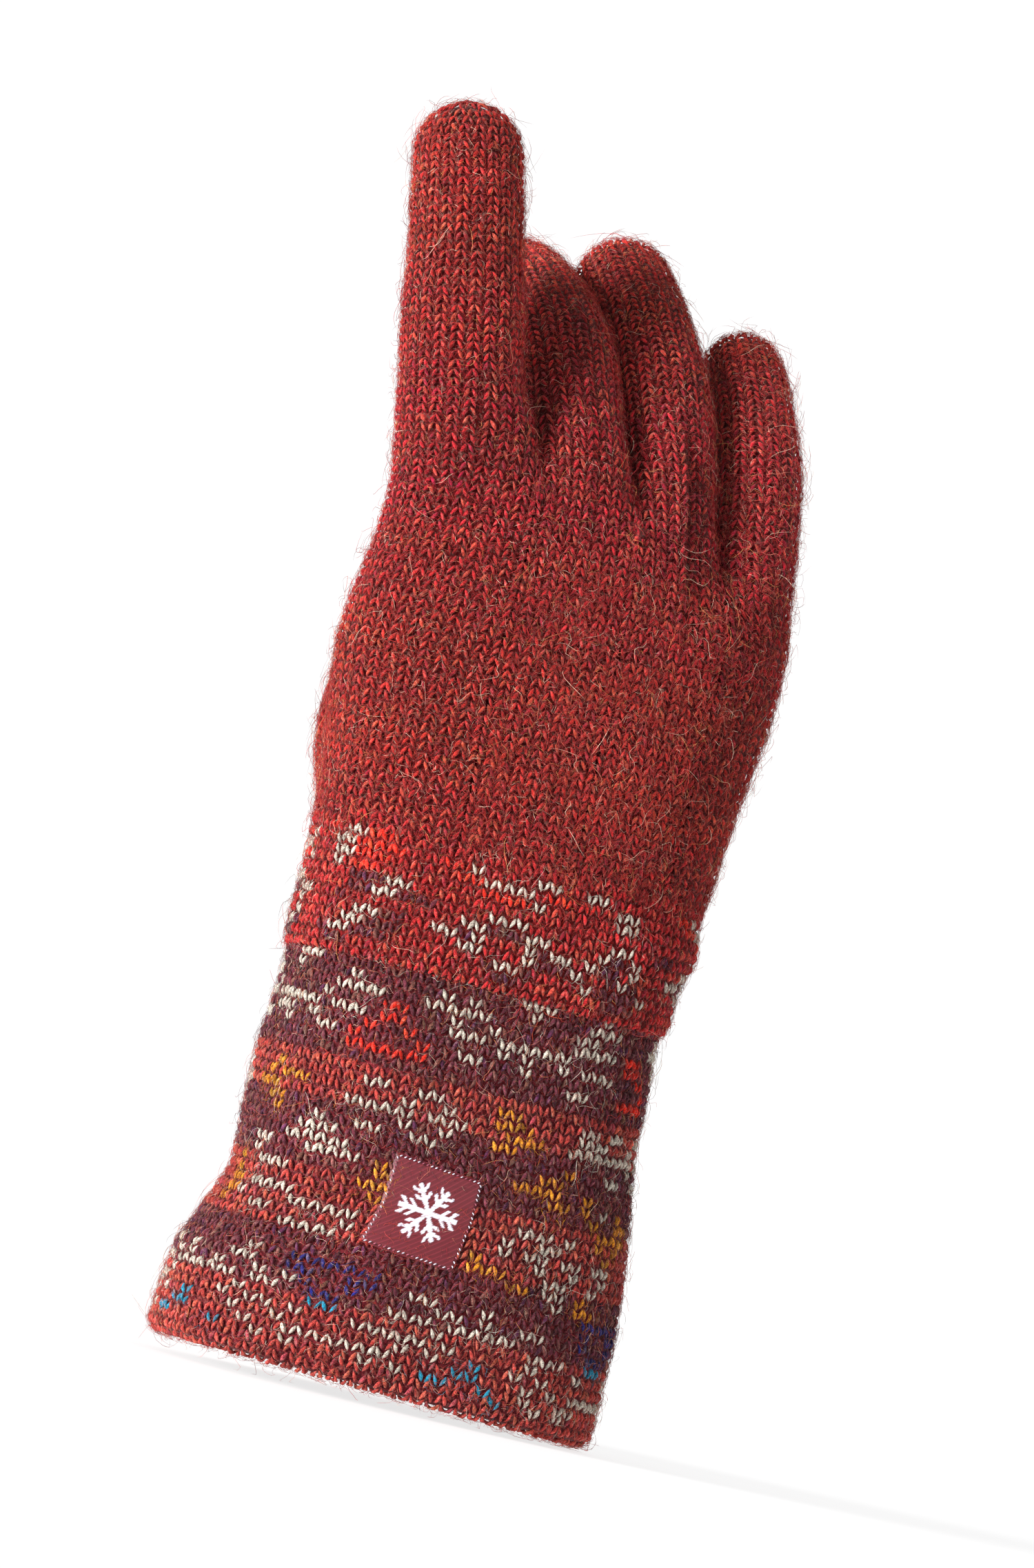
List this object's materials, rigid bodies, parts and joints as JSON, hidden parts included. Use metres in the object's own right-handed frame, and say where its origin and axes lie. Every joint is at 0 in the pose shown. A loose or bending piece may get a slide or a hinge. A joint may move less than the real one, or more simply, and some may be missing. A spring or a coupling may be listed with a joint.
{
  "type": "knitted glove",
  "caption": "Full-finger wool glove for a right hand: plain heathered hand, bendable fingers and thumb, patterned double cuff with a turned hem and a woven label.",
  "frame": {"origin": "middle of the cuff's opening, in the plane of the hem", "axes": "+Z from the hem to the fingers, -Y the back of the hand, +Y the palm, -X the thumb side"},
  "size_m": [0.0979, 0.0991, 0.256],
  "materials": {
    "red_knit": "heathered fuzzy wool, plain knitting",
    "patterned_knit": "wool, colour-work knitting",
    "plum_knit": "wool, colour-work knitting",
    "label_weave": "satin woven tape",
    "label_thread": "polyester thread"
  },
  "bodies": {
    "hand_and_cuff": {"hand_tube": "red_knit", "thumb_gusset": "red_knit", "cuff_hem": "red_knit", "cuff_outer": "plum_knit", "cuff_facing": "plum_knit", "wrist_seam": "red_knit", "wrist_fold": "patterned_knit", "woven_label": "label_weave", "label_stitch_top": "label_thread", "label_stitch_bottom": "label_thread", "label_stitch_left": "label_thread", "label_stitch_right": "label_thread"},
    "index_root_segment": {"index_base": "red_knit"},
    "index_far_segment": {"index_end": "red_knit", "index_tip_closure": "red_knit"},
    "middle_root_segment": {"middle_base": "red_knit"},
    "middle_far_segment": {"middle_end": "red_knit", "middle_tip_closure": "red_knit"},
    "ring_root_segment": {"ring_base": "red_knit"},
    "ring_far_segment": {"ring_end": "red_knit", "ring_tip_closure": "red_knit"},
    "little_root_segment": {"little_base": "red_knit"},
    "little_far_segment": {"little_end": "red_knit", "little_tip_closure": "red_knit"},
    "thumb_root_segment": {"thumb_base": "red_knit"},
    "thumb_far_segment": {"thumb_end": "red_knit", "thumb_tip_closure": "red_knit"}
  },
  "joints": [
    {"name": "index_knuckle", "type": "hinge", "parent": "hand_and_cuff", "child": "index_root_segment", "pos_m": [-0.03163, 0.00139, 0.19474], "axis": [-0.986, 0, -0.1668], "range_deg": [-12, 55]},
    {"name": "index_middle", "type": "hinge", "parent": "index_root_segment", "child": "index_far_segment", "pos_m": [-0.03561, 0.0039, 0.21827], "axis": [-0.986, 0, -0.1668], "range_deg": [-8, 60]},
    {"name": "middle_knuckle", "type": "hinge", "parent": "hand_and_cuff", "child": "middle_root_segment", "pos_m": [-0.00569, 0.00461, 0.19249], "axis": [-0.9996, 0, -0.0297], "range_deg": [-42, 22]},
    {"name": "middle_middle", "type": "hinge", "parent": "middle_root_segment", "child": "middle_far_segment", "pos_m": [-0.00621, 0.02034, 0.20994], "axis": [-0.9996, 0, -0.0297], "range_deg": [-20, 46]},
    {"name": "ring_knuckle", "type": "hinge", "parent": "hand_and_cuff", "child": "ring_root_segment", "pos_m": [0.01623, 0.00485, 0.18843], "axis": [-0.9981, 0, -0.0611], "range_deg": [-40, 24]},
    {"name": "ring_middle", "type": "hinge", "parent": "ring_root_segment", "child": "ring_far_segment", "pos_m": [0.01502, 0.01926, 0.20822], "axis": [-0.9981, 0, -0.0611], "range_deg": [-16, 50]},
    {"name": "little_knuckle", "type": "hinge", "parent": "hand_and_cuff", "child": "little_root_segment", "pos_m": [0.03695, 0.00424, 0.1846], "axis": [-0.9999, 0, -0.014], "range_deg": [-30, 34]},
    {"name": "little_middle", "type": "hinge", "parent": "little_root_segment", "child": "little_far_segment", "pos_m": [0.03672, 0.01399, 0.20149], "axis": [-0.9999, 0, -0.014], "range_deg": [-16, 50]},
    {"name": "thumb_root", "type": "hinge", "parent": "hand_and_cuff", "child": "thumb_root_segment", "pos_m": [-0.023, 0.026, 0.125], "axis": [-0.6305, 0.5303, -0.5667], "range_deg": [-6, 24]},
    {"name": "thumb_end_joint", "type": "hinge", "parent": "thumb_root_segment", "child": "thumb_far_segment", "pos_m": [-0.018, 0.0395, 0.142], "axis": [-0.7724, -0.3571, 0.5252], "range_deg": [-15, 35]}
  ]
}
